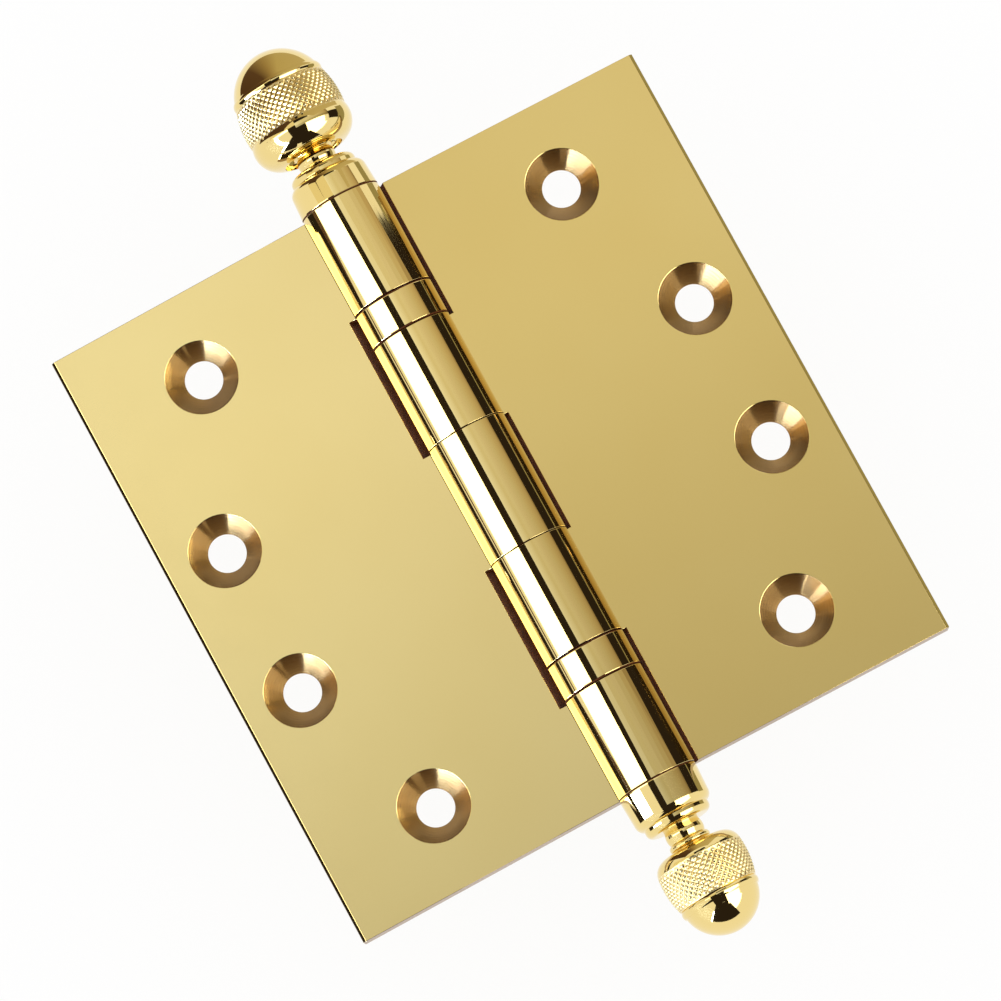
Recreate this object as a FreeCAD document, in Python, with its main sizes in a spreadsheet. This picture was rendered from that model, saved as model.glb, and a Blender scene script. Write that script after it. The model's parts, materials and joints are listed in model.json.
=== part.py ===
import FreeCAD
import Part
import Sketcher
import math
import os

# Ball bearing butt hinge with acorn finials, open and lying on its back, in millimetres.
# The pin axis is Y, the countersunk faces look up (+Z) and the origin is the middle of the barrel.
# The leaf with three knuckles lies towards -X, and the leaf with two towards +X.

# Driving dimensions: name, value, meaning
SIZES = [
    ("leaf_length", 101.6, "length of a leaf along the pin"),
    ("leaf_reach", 50.8, "pin axis to the outer edge of a leaf"),
    ("leaf_thickness", 3.4, "plate thickness"),
    ("leaf_droop", 3.5, "degrees that each open leaf lies below flat"),
    ("face_drop", 0.8, "countersunk face below the pin axis, half the gap of the closed hinge"),
    ("barrel_radius", 6.5, "outside of the knuckles, bearing shells and finial collars"),
    ("frame_slot_room", 1.2, "gap between the three-knuckle leaf and the other leaf's knuckles"),
    ("door_slot_room", 0.8, "gap between the two-knuckle leaf and the other leaf's knuckles"),
    ("end_knuckle", 16.85, "length of the first and last knuckle"),
    ("middle_knuckle", 19.9, "length of the third knuckle"),
    ("knuckle_gap", 0.15, "running gap between neighbouring knuckles"),
    ("screw_hole_radius", 2.98, "clearance hole of a wood screw"),
    ("countersink_radius", 5.7, "countersink at the leaf's face"),
    ("countersink_angle", 82.0, "degrees across the countersink's cone"),
    ("end_hole_reach", 31.5, "pin axis to the holes near the leaf's ends"),
    ("end_hole_offset", 37.65, "middle of the leaf to the holes near its ends"),
    ("middle_hole_reach", 41.0, "pin axis to the two holes between"),
    ("middle_hole_offset", 12.25, "middle of the leaf to the two holes between"),
    ("knuckle_wall", 3.275, "wall of a knuckle round its bore"),
    ("pin_clearance", 0.05, "radial clearance of the pin in the knuckles"),
    ("pin_end_gap", 0.3, "pin end to the finial's seat"),
    ("pin_chamfer", 0.3, "bevel at the pin's ends"),
    ("stud_radius", 2.0, "finial stud, over its thread"),
    ("stud_clearance", 0.05, "radial clearance of the stud in the tapped pin"),
    ("stud_length", 8.0, "finial stud from its seat"),
    ("stud_end_gap", 1.0, "stud's end to the bottom of the tapped hole"),
    ("bearing_height", 6.2, "room for a bearing between two knuckles"),
    ("shell_wall", 0.8, "wall of the bearing shell"),
    ("shell_gap", 0.12, "shell to the knuckle at each of its ends"),
    ("shell_round", 0.35, "rounded outer edges of the shell"),
    ("race_clearance", 0.1, "radial clearance of a race on the pin and of the moving race in the shell"),
    ("race_spacing", 1.0, "gap between the two races"),
    ("ball_radius", 0.8, "bearing ball"),
    ("ball_clearance", 0.04, "ball to its groove"),
    ("ball_count", 10, "balls in a bearing"),
    ("cage_thickness", 0.6, "ball cage along the pin"),
    ("cage_clearance", 0.1, "radial clearance of the cage in the shell and on the pin"),
    ("pocket_clearance", 0.06, "ball to the wall of its pocket"),
    ("collar_taper", 0.2, "radius that a finial's collar loses along its length"),
    ("collar_fall", 1.2, "rounded fall from a finial's collar to its ring"),
    ("collar_arc", 1.45, "radius of that fall"),
    ("ring_radius", 5.4, "ring beyond the collar"),
    ("ring_length", 0.5, "straight part of the ring"),
    ("ring_fall", 1.0, "rounded end of the ring"),
    ("neck_radius", 2.9, "neck at its narrowest"),
    ("neck_length", 0.3, "plain neck beside the ring"),
    ("swell_length", 2.0, "swelling of the neck next to it"),
    ("swell_arc", 2.4, "section radius of the swelling"),
    ("bead_length", 1.4, "bead between the swelling and the acorn"),
    ("bead_arc", 0.75, "section radius of the bead"),
    ("acorn_root", 0.3, "plain neck beside the acorn"),
    ("cup_relief", 0.15, "knurled band's first edge below the acorn's widest radius"),
    ("band_arc", 14.0, "section radius of the band"),
    ("band_relief", 0.7, "knurled band's last edge below the acorn's widest radius"),
    ("rim_length", 1.3, "polished rim beyond the band"),
    ("rim_arc", 1.0, "section radius of the rim"),
    ("rim_relief", 0.9, "rim below the acorn's widest radius"),
    ("dome_step", 0.15, "dome below the rim"),
    ("tip_radius", 1.2, "edge of the dome's round tip"),
    ("top_collar_length", 3.8, "tapered part of the top finial's collar"),
    ("top_acorn_radius", 8.2, "widest part of the top finial"),
    ("top_cup_edge", 4.9, "lowest edge of its cup, from the pin axis"),
    ("top_cup_drop", 1.8, "that edge below the root of the acorn"),
    ("top_hollow_arc", 1.5, "section radius of the hollow round its neck"),
    ("top_cup_length", 3.1, "root of the acorn to its knurled band"),
    ("top_cup_arc", 3.8, "section radius of its cup"),
    ("top_band_length", 6.3, "its knurled band"),
    ("top_dome_length", 5.25, "its dome from the rim to the tip's edge"),
    ("top_dome_arc", 7.6, "section radius of its dome"),
    ("top_tip_height", 0.1, "its tip beyond the dome"),
    ("bottom_collar_length", 4.9, "tapered part of the bottom finial's collar"),
    ("bottom_acorn_radius", 7.15, "widest part of the bottom finial"),
    ("bottom_cup_edge", 4.4, "lowest edge of its cup, from the pin axis"),
    ("bottom_cup_drop", 0.3, "that edge below the root of the acorn"),
    ("bottom_hollow_arc", 1.0, "section radius of the hollow round its neck"),
    ("bottom_cup_length", 1.8, "root of the acorn to its knurled band"),
    ("bottom_cup_arc", 2.4, "section radius of its cup"),
    ("bottom_band_length", 6.1, "its knurled band"),
    ("bottom_dome_length", 4.98, "its dome from the rim to the tip's edge"),
    ("bottom_dome_arc", 6.2, "section radius of its dome"),
    ("bottom_tip_height", 0.12, "its tip beyond the dome"),
]

# Places worked out from the driving dimensions
BORE = "(Sizes.barrel_radius - Sizes.knuckle_wall)"
PIN_RADIUS = f"({BORE} - Sizes.pin_clearance)"
LEAF_END = "(Sizes.leaf_length / 2)"
BEARING_OUT = f"({LEAF_END} - Sizes.end_knuckle)"
BEARING_IN = f"({BEARING_OUT} - Sizes.bearing_height)"
BEARING_MIDDLE = f"({BEARING_OUT} - Sizes.bearing_height / 2)"
MIDDLE_END = "(Sizes.middle_knuckle / 2)"
FACE = "(-Sizes.face_drop)"
BACK = "(-Sizes.face_drop - Sizes.leaf_thickness)"
SHELL_BORE = "(Sizes.barrel_radius - Sizes.shell_wall)"
SHELL_HEIGHT = "(Sizes.bearing_height - 2 * Sizes.shell_gap)"
RACE_BORE = f"({PIN_RADIUS} + Sizes.race_clearance)"
BALL_PITCH = f"(({RACE_BORE} + {SHELL_BORE}) / 2)"
PIN_LENGTH = "(Sizes.leaf_length - 2 * Sizes.pin_end_gap)"
TAP_RADIUS = "(Sizes.stud_radius + Sizes.stud_clearance)"
TAP_DEPTH = "(Sizes.stud_length + Sizes.stud_end_gap - Sizes.pin_end_gap)"

ALONG_PIN = FreeCAD.Vector(0, 1, 0)
UPRIGHT = FreeCAD.Vector(0, 0, 1)
CENTRE_LEFT = 1
CENTRE_RIGHT = -1
ON_PIN_AXIS = "centre on the pin axis"

doc = FreeCAD.newDocument("butt_hinge")
subparts = []


def make_sheet():
    """Write the driving dimensions into the sheet, each under its own alias."""
    sheet = doc.addObject("Spreadsheet::Sheet", "Sizes")
    for row, (name, size, meaning) in enumerate(SIZES, start=1):
        sheet.set(f"A{row}", name)
        sheet.set(f"B{row}", str(size))
        sheet.set(f"C{row}", meaning)
        sheet.setAlias(f"B{row}", name)
    doc.recompute()
    return sheet


def new_body(label):
    """Start a sub-part whose label names its file."""
    body = doc.addObject("PartDesign::Body", label)
    body.Label = label
    subparts.append(body)
    return body


def new_sketch(body, role, name):
    """Attach a sketch to one of the body's own origin planes."""
    sketch = body.newObject("Sketcher::SketchObject", name)
    plane = next(item for item in body.Origin.OriginFeatures if item.Role == role)
    sketch.AttachmentSupport = [(plane, "")]
    sketch.MapMode = "FlatFace"
    return sketch


def bind(sketch, kind, elements, expression):
    """Add one dimension to a sketch and tie it to an expression."""
    index = sketch.addConstraint(Sketcher.Constraint(kind, *elements, sketch.evalExpression(expression)))
    sketch.setExpression(f"Constraints[{index}]", expression)


def place_point(sketch, geometry, end, x, y):
    """Hold a point at the expressions x and y from the sketch's origin."""
    for kind, across, expression in (("DistanceX", -2, x), ("DistanceY", -1, y)):
        distance = sketch.evalExpression(expression)
        if distance == 0:
            sketch.addConstraint(Sketcher.Constraint("PointOnObject", geometry, end, across))
        elif distance > 0:
            bind(sketch, kind, (-1, 1, geometry, end), expression)
        else:
            bind(sketch, kind, (geometry, end, -1, 1), f"-({expression})")


def add_circle(sketch, x, y, radius):
    """Draw a circle of the given radius about the point x, y."""
    centre = FreeCAD.Vector(sketch.evalExpression(x), sketch.evalExpression(y), 0)
    circle = sketch.addGeometry(Part.Circle(centre, UPRIGHT, sketch.evalExpression(radius)))
    if centre.Length == 0:
        sketch.addConstraint(Sketcher.Constraint("Coincident", circle, 3, -1, 1))
    else:
        place_point(sketch, circle, 3, x, y)
    bind(sketch, "Radius", (circle,), radius)


def arc_between(start, finish, radius, side):
    """Give the shorter arc from start to finish, its centre left or right of the way along."""
    chord = finish - start
    left = FreeCAD.Vector(-chord.y, chord.x, 0).normalize()
    height = math.sqrt(radius**2 - (chord.Length / 2) ** 2)
    centre = start + chord * 0.5 + left * (side * height)
    first, last = (start, finish) if side == CENTRE_LEFT else (finish, start)
    begin = math.atan2(first.y - centre.y, first.x - centre.x)
    end = math.atan2(last.y - centre.y, last.x - centre.x)
    if end < begin:
        end += 2 * math.pi
    return Part.ArcOfCircle(Part.Circle(centre, UPRIGHT, radius), begin, end)


def tip_size(start, finish):
    """Give the radius of a round tip from its edge to the pin axis."""
    height = finish.y - start.y
    return (start.x**2 + height**2) / (2 * height)


def add_outline(sketch, points, arcs=None):
    """Draw a closed outline through points given as pairs of expressions.

    arcs gives the radius and the centre's side for each edge that is round, by the
    index of the point where it starts. All other edges are straight. A round tip has
    its centre on the pin axis in place of a radius.
    """
    arcs = arcs or {}
    corners = [FreeCAD.Vector(sketch.evalExpression(x), sketch.evalExpression(y), 0) for x, y in points]
    edges = []
    for index, start in enumerate(corners):
        finish = corners[(index + 1) % len(corners)]
        if index in arcs:
            radius, side = arcs[index]
            size = tip_size(start, finish) if radius == ON_PIN_AXIS else sketch.evalExpression(radius)
            curve = arc_between(start, finish, size, side)
            ends = (1, 2) if side == CENTRE_LEFT else (2, 1)
        else:
            curve = Part.LineSegment(start, finish)
            ends = (1, 2)
        edges.append((sketch.addGeometry(curve), *ends))
    for index, (edge, begin, end) in enumerate(edges):
        following, first, _ = edges[(index + 1) % len(edges)]
        sketch.addConstraint(Sketcher.Constraint("Coincident", edge, end, following, first))
        place_point(sketch, edge, begin, *points[index])
    for index, (radius, _) in arcs.items():
        arc = edges[index][0]
        if radius == ON_PIN_AXIS:
            sketch.addConstraint(Sketcher.Constraint("PointOnObject", arc, 3, -2))
        else:
            bind(sketch, "Radius", (arc,), radius)


def add_rectangle(sketch, left, right, low, high):
    """Draw an upright rectangle between four expressions."""
    add_outline(sketch, [(left, low), (right, low), (right, high), (left, high)])


def pad(body, sketch, name, length):
    """Extrude a sketch half to each side of its plane."""
    feature = body.newObject("PartDesign::Pad", name)
    feature.Profile = sketch
    feature.SideType = "Symmetric"
    feature.setExpression("Length", length)
    doc.recompute()


def pocket_through(body, sketch, name):
    """Cut a sketch right through the body, to both sides of its plane."""
    before = body.Shape.Volume
    feature = body.newObject("PartDesign::Pocket", name)
    feature.Profile = sketch
    feature.Type = "ThroughAll"
    feature.SideType = "Symmetric"
    doc.recompute()
    if body.Shape.Volume >= before:
        raise RuntimeError(f"{body.Label}: {name} cuts nothing")
    return feature


def revolve(body, points, arcs=None):
    """Turn an outline about the pin axis."""
    sketch = new_sketch(body, "XY_Plane", "section")
    add_outline(sketch, points, arcs)
    turned = body.newObject("PartDesign::Revolution", "turned")
    turned.Profile = sketch
    turned.ReferenceAxis = (sketch, ["V_Axis"])
    turned.Angle = 360
    doc.recompute()


def place_on_pin(body, along, turned_round):
    """Set a turned piece on the pin axis, turned end for end where it faces -Y."""
    turn = FreeCAD.Rotation(UPRIGHT, 180 if turned_round else 0)
    body.Placement = FreeCAD.Placement(FreeCAD.Vector(), turn)
    body.setExpression("Placement.Base.y", along)


def make_leaf(label, side, slots, room):
    """Build one leaf with its knuckles: side is -1 or 1, slots are its cut-outs along the pin.

    room is the gap that the slots leave round the other leaf's knuckles.
    """
    body = new_body(label)
    plate = new_sketch(body, "XZ_Plane", "plate_section")
    outer = f"({side} * Sizes.leaf_reach)"
    add_rectangle(plate, *sorted(("0", outer), key=plate.evalExpression), BACK, FACE)
    pad(body, plate, "plate", "Sizes.leaf_length")
    barrel = new_sketch(body, "XZ_Plane", "barrel_section")
    add_circle(barrel, "0", "0", "Sizes.barrel_radius")
    pad(body, barrel, "barrel", "Sizes.leaf_length")
    bore = new_sketch(body, "XZ_Plane", "bore_section")
    add_circle(bore, "0", "0", BORE)
    pocket_through(body, bore, "bore")
    cut_slots(body, slots, room)
    add_screw_holes(body, side)
    body.Placement = FreeCAD.Placement(FreeCAD.Vector(), FreeCAD.Rotation(ALONG_PIN * side, 1))
    body.setExpression("Placement.Rotation.Angle", "Sizes.leaf_droop")


def cut_slots(body, slots, room):
    """Turn out the leaf where the other leaf's knuckles run, so that its edge there is hollow."""
    sections = new_sketch(body, "XY_Plane", "slot_sections")
    for low, high in slots:
        add_rectangle(sections, "0", f"(Sizes.barrel_radius + {room})", low, high)
    before = body.Shape.Volume
    groove = body.newObject("PartDesign::Groove", "slots")
    groove.Profile = sections
    groove.ReferenceAxis = (sections, ["V_Axis"])
    groove.Angle = 360
    doc.recompute()
    if body.Shape.Volume >= before:
        raise RuntimeError(f"{body.Label}: the slots cut nothing")


def add_screw_holes(body, side):
    """Countersink the four screw holes of a leaf, set in a zigzag."""
    centres = new_sketch(body, "XY_Plane", "hole_centres")
    centres.setExpression("AttachmentOffset.Base.z", FACE)
    for reach, offset in (("end_hole_reach", "end_hole_offset"), ("middle_hole_reach", "middle_hole_offset")):
        for end in (-1, 1):
            x = f"({side} * Sizes.{reach})"
            y = f"({end} * Sizes.{offset})"
            add_circle(centres, x, y, "Sizes.screw_hole_radius")
    doc.recompute()
    before = body.Shape.Volume
    holes = body.newObject("PartDesign::Hole", "screw_holes")
    holes.Profile = centres
    doc.recompute()
    holes.DepthType = "ThroughAll"
    holes.HoleCutType = "Countersink"
    holes.HoleCutCustomValues = True
    holes.setExpression("Diameter", "2 * Sizes.screw_hole_radius")
    holes.setExpression("HoleCutDiameter", "2 * Sizes.countersink_radius")
    holes.setExpression("HoleCutCountersinkAngle", "Sizes.countersink_angle")
    doc.recompute()
    if body.Shape.Volume >= before:
        raise RuntimeError(f"{body.Label}: the screw holes cut nothing")


def make_pin():
    """Turn the hinge pin, with a bevel and a tapped hole at each end."""
    body = new_body("hinge_pin")
    shoulder = f"({PIN_RADIUS} - Sizes.pin_chamfer)"
    top = PIN_LENGTH
    points = [
        ("0", TAP_DEPTH),
        (TAP_RADIUS, TAP_DEPTH),
        (TAP_RADIUS, "0"),
        (shoulder, "0"),
        (PIN_RADIUS, "Sizes.pin_chamfer"),
        (PIN_RADIUS, f"({top} - Sizes.pin_chamfer)"),
        (shoulder, top),
        (TAP_RADIUS, top),
        (TAP_RADIUS, f"({top} - {TAP_DEPTH})"),
        ("0", f"({top} - {TAP_DEPTH})"),
    ]
    revolve(body, points)
    place_on_pin(body, f"-{PIN_LENGTH} / 2", False)


def make_finial(end, turned_round):
    """Turn the finial of one end, top or bottom, from its stud to the tip of its acorn."""
    body = new_body(f"{end}_finial")
    steps = ["stud_length", f"{end}_collar_length", "collar_fall", "ring_length", "ring_fall", "neck_length"]
    steps += ["swell_length", "bead_length", "acorn_root", f"{end}_cup_length", f"{end}_band_length"]
    steps += ["rim_length", f"{end}_dome_length", f"{end}_tip_height"]
    levels = ["0"]
    for step in steps:
        levels.append(f"{levels[-1]} + Sizes.{step}")
    seat, collar, ring, lip, neck, swell, bead, root, cup, band, rim, dome, tip_edge, tip = levels[1:]
    acorn_radius = f"Sizes.{end}_acorn_radius"
    rim_radius = f"({acorn_radius} - Sizes.rim_relief)"
    points = [
        ("0", "0"),
        ("Sizes.stud_radius", "0"),
        ("Sizes.stud_radius", seat),
        ("Sizes.barrel_radius", seat),
        ("(Sizes.barrel_radius - Sizes.collar_taper)", collar),
        ("Sizes.ring_radius", ring),
        ("Sizes.ring_radius", lip),
        ("(Sizes.ring_radius - Sizes.ring_fall)", neck),
        ("Sizes.neck_radius", neck),
        ("Sizes.neck_radius", swell),
        ("Sizes.neck_radius", bead),
        ("Sizes.neck_radius", root),
        ("Sizes.neck_radius", cup),
        (f"Sizes.{end}_cup_edge", f"{cup} - Sizes.{end}_cup_drop"),
        (f"({acorn_radius} - Sizes.cup_relief)", band),
        (f"({acorn_radius} - Sizes.band_relief)", rim),
        (rim_radius, rim),
        (rim_radius, dome),
        (f"({rim_radius} - Sizes.dome_step)", dome),
        ("Sizes.tip_radius", tip_edge),
        ("0", tip),
    ]
    arcs = {
        4: ("Sizes.collar_arc", CENTRE_LEFT),
        6: ("Sizes.ring_fall", CENTRE_LEFT),
        9: ("Sizes.swell_arc", CENTRE_LEFT),
        10: ("Sizes.bead_arc", CENTRE_LEFT),
        12: (f"Sizes.{end}_hollow_arc", CENTRE_RIGHT),
        13: (f"Sizes.{end}_cup_arc", CENTRE_LEFT),
        14: ("Sizes.band_arc", CENTRE_LEFT),
        16: ("Sizes.rim_arc", CENTRE_LEFT),
        18: (f"Sizes.{end}_dome_arc", CENTRE_LEFT),
        19: (ON_PIN_AXIS, CENTRE_LEFT),
    }
    revolve(body, points, arcs)
    start = f"({LEAF_END} - Sizes.stud_length)"
    place_on_pin(body, f"-{start}" if turned_round else start, turned_round)


def make_shell(label, middle):
    """Turn the brass shell of a bearing, with rounded outer edges."""
    body = new_body(label)
    inset = "(Sizes.barrel_radius - Sizes.shell_round)"
    points = [
        (SHELL_BORE, "0"),
        (inset, "0"),
        ("Sizes.barrel_radius", "Sizes.shell_round"),
        ("Sizes.barrel_radius", f"({SHELL_HEIGHT} - Sizes.shell_round)"),
        (inset, SHELL_HEIGHT),
        (SHELL_BORE, SHELL_HEIGHT),
    ]
    rounded = ("Sizes.shell_round", CENTRE_LEFT)
    revolve(body, points, {1: rounded, 3: rounded})
    place_on_pin(body, f"{middle} - {SHELL_HEIGHT} / 2", False)


def make_race(label, middle, outside, turned_round):
    """Turn a race with its ball groove: turned round, it seats on the knuckle towards -Y."""
    body = new_body(label)
    face = "(Sizes.race_spacing / 2)"
    seat = "(Sizes.bearing_height / 2)"
    groove = "(Sizes.ball_radius + Sizes.ball_clearance)"
    half_width = f"sqrt({groove} * {groove} - {face} * {face})"
    points = [
        (RACE_BORE, face),
        (f"({BALL_PITCH} - {half_width})", face),
        (f"({BALL_PITCH} + {half_width})", face),
        (outside, face),
        (outside, seat),
        (RACE_BORE, seat),
    ]
    revolve(body, points, {1: (groove, CENTRE_RIGHT)})
    place_on_pin(body, middle, turned_round)


def make_cage(label, middle):
    """Turn the ball cage and bore its pockets."""
    body = new_body(label)
    inside = f"({PIN_RADIUS} + Sizes.cage_clearance)"
    outside = f"({SHELL_BORE} - Sizes.cage_clearance)"
    top = "Sizes.cage_thickness"
    revolve(body, [(inside, "0"), (outside, "0"), (outside, top), (inside, top)])
    pocket = new_sketch(body, "XZ_Plane", "pocket_outline")
    add_circle(pocket, BALL_PITCH, "0", "(Sizes.ball_radius + Sizes.pocket_clearance)")
    first = pocket_through(body, pocket, "pocket")
    pockets = body.newObject("PartDesign::PolarPattern", "pockets")
    pockets.Originals = [first]
    pockets.Axis = (next(item for item in body.Origin.OriginFeatures if item.Role == "Y_Axis"), [""])
    pockets.Angle = 360
    pockets.setExpression("Occurrences", "Sizes.ball_count")
    body.Tip = pockets
    doc.recompute()
    place_on_pin(body, f"{middle} - Sizes.cage_thickness / 2", False)


def make_balls(prefix, middle, count):
    """Set the balls round the pin, one in each pocket."""
    for index in range(count):
        ball = doc.addObject("Part::Sphere", f"{prefix}_{index + 1}")
        ball.Label = f"{prefix}_{index + 1}"
        angle = f"(360 * {index} / Sizes.ball_count)"
        ball.setExpression("Radius", "Sizes.ball_radius")
        ball.setExpression("Placement.Base.x", f"{BALL_PITCH} * cos({angle})")
        ball.setExpression("Placement.Base.y", middle)
        ball.setExpression("Placement.Base.z", f"{BALL_PITCH} * sin({angle})")
        subparts.append(ball)


def make_bearing(name, end, count):
    """Build a bearing: end is 1 at the top and -1 at the bottom, where the fixed race faces."""
    middle = f"({end} * {BEARING_MIDDLE})"
    loose = f"({SHELL_BORE} - Sizes.race_clearance)"
    make_shell(f"{name}_bearing_shell", middle)
    make_race(f"{name}_fixed_race", middle, SHELL_BORE, end < 0)
    make_race(f"{name}_moving_race", middle, loose, end > 0)
    make_cage(f"{name}_ball_cage", middle)
    make_balls(f"{name}_ball", middle, count)


def check_model():
    """Stop if a feature failed or a sub-part isn't one sound solid."""
    for item in doc.Objects:
        if "Invalid" in item.State or "Error" in item.State:
            raise RuntimeError(f"{item.Label}: {item.State}")
    for item in subparts:
        if item.Shape.isNull() or not item.Shape.isValid() or len(item.Shape.Solids) != 1:
            raise RuntimeError(f"{item.Label}: not one valid solid")


def export_parts():
    """Write each sub-part to its own file."""
    os.makedirs("parts", exist_ok=True)
    for item in subparts:
        item.Shape.exportStep(f"parts/{item.Label}.step")


sheet = make_sheet()
frame_slot = (MIDDLE_END, BEARING_OUT)
door_slot = (BEARING_IN, f"({LEAF_END} + Sizes.door_slot_room)")
middle_room = f"({MIDDLE_END} + Sizes.knuckle_gap)"
frame_slots = [frame_slot, tuple(f"(-{edge})" for edge in reversed(frame_slot))]
door_slots = [door_slot, (f"(-{middle_room})", middle_room)]
door_slots.append(tuple(f"(-{edge})" for edge in reversed(door_slot)))
make_leaf("frame_leaf", -1, frame_slots, "Sizes.frame_slot_room")
make_leaf("door_leaf", 1, door_slots, "Sizes.door_slot_room")
make_pin()
make_finial("top", False)
make_finial("bottom", True)
make_bearing("upper", 1, int(sheet.ball_count))
make_bearing("lower", -1, int(sheet.ball_count))
doc.recompute()
check_model()
export_parts()
for item in subparts:
    box = item.Shape.BoundBox
    print(f"{item.Label}: {item.Shape.Volume:.2f} mm3, y {box.YMin:.2f} to {box.YMax:.2f}")
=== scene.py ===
"""Studio picture of a ball bearing butt hinge in polished brass, dressed on its CAD frame.

The frame is in metres. The pin axis is Y, the countersunk faces look up (+Z), the leaf with
three knuckles lies towards -X and the leaf with two towards +X. Sizes of the hinge are in
millimetres here, and those of the studio in metres unless a name ends in mm.
"""

import json
import logging
import math
from dataclasses import dataclass
from enum import Enum

import bmesh
import bpy
from mathutils import Matrix, Vector


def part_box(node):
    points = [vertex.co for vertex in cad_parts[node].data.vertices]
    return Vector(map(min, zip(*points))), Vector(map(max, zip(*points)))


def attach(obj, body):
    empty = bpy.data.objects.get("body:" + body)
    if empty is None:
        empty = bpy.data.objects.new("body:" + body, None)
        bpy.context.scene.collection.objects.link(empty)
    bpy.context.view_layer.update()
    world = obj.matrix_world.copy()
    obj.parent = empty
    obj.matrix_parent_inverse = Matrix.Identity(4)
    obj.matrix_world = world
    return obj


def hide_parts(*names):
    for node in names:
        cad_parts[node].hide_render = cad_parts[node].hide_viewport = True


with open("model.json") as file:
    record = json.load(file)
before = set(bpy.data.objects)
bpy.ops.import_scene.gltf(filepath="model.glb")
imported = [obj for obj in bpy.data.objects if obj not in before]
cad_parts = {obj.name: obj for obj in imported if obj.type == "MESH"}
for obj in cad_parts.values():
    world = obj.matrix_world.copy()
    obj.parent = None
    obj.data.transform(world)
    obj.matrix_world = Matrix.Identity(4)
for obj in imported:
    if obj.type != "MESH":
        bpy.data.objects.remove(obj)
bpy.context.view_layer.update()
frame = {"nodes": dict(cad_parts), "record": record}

log = logging.getLogger("hinge")

MM = 0.001
MERGE_MM = 0.001
ALONG_PIN = Vector((0, 1, 0))
UPRIGHT = Vector((0, 0, 1))
# Cosines between directions: above SAME_WAY they count as one, within ASLANT as crossed
SAME_WAY = 0.9
ASLANT = 0.5


class Slot(Enum):
    """Material slots of the record."""

    BRASS = "polished_brass"
    PIN_STEEL = "ground_steel"
    BALL_STEEL = "bearing_steel"
    CAGE_BRASS = "cage_brass"


class LeafFinish(Enum):
    """Finishes of a leaf's faces, numbered as its materials are."""

    POLISHED = 0
    TURNED = 1
    SAWN = 2
    # Painted shade in the gaps between the knuckles and in the slots
    GAP = 3
    # The long side edges, darkened with tarnish and painted shade
    TARNISH_AND_SHADE = 4


class FinialFinish(Enum):
    """Finishes of a finial's faces, numbered as its materials are."""

    POLISHED = 0
    KNURLED = 1
    GAP = 2


class Side(Enum):
    """How a sheet of the studio curves round the hinge."""

    ROOF = "about the pin, from overhead"
    WALL = "about the upright, from the front"


# Shader helpers


def linear(colour: str) -> tuple[float, float, float, float]:
    """Turn an sRGB hex colour into linear light.

    Args:
        colour: Six hex digits.

    Returns:
        Red, green, blue and an alpha of 1.
    """
    parts = [int(colour[start : start + 2], 16) / 255 for start in (0, 2, 4)]
    light = [part / 12.92 if part <= 0.04045 else ((part + 0.055) / 1.055) ** 2.4 for part in parts]
    return (*light, 1.0)


def per_metre(size_mm: float) -> float:
    """Give the texture scale at which one feature is size_mm wide."""
    return 1 / (size_mm * MM)


def add_node(tree: bpy.types.NodeTree, kind: str, inputs: dict | None = None, **settings) -> bpy.types.Node:
    """Add one node with its settings and links.

    Args:
        tree: Node tree of a material or of the world.
        kind: Type name of the node.
        inputs: Values or output sockets for the node's inputs, by name or number.
        settings: Attributes of the node.

    Returns:
        The new node.
    """
    node = tree.nodes.new(kind)
    for name, value in settings.items():
        setattr(node, name, value)
    for name, value in (inputs or {}).items():
        if isinstance(value, bpy.types.NodeSocket):
            tree.links.new(value, node.inputs[name])
        else:
            node.inputs[name].default_value = value
    return node


def new_material(name: str) -> tuple[bpy.types.Material, bpy.types.NodeTree]:
    """Start an empty material.

    Args:
        name: Name of the finish.

    Returns:
        The material and its node tree.
    """
    material = bpy.data.materials.new(name)
    material.use_nodes = True
    material.node_tree.nodes.clear()
    return material, material.node_tree


# Finishes of the hinge


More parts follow.
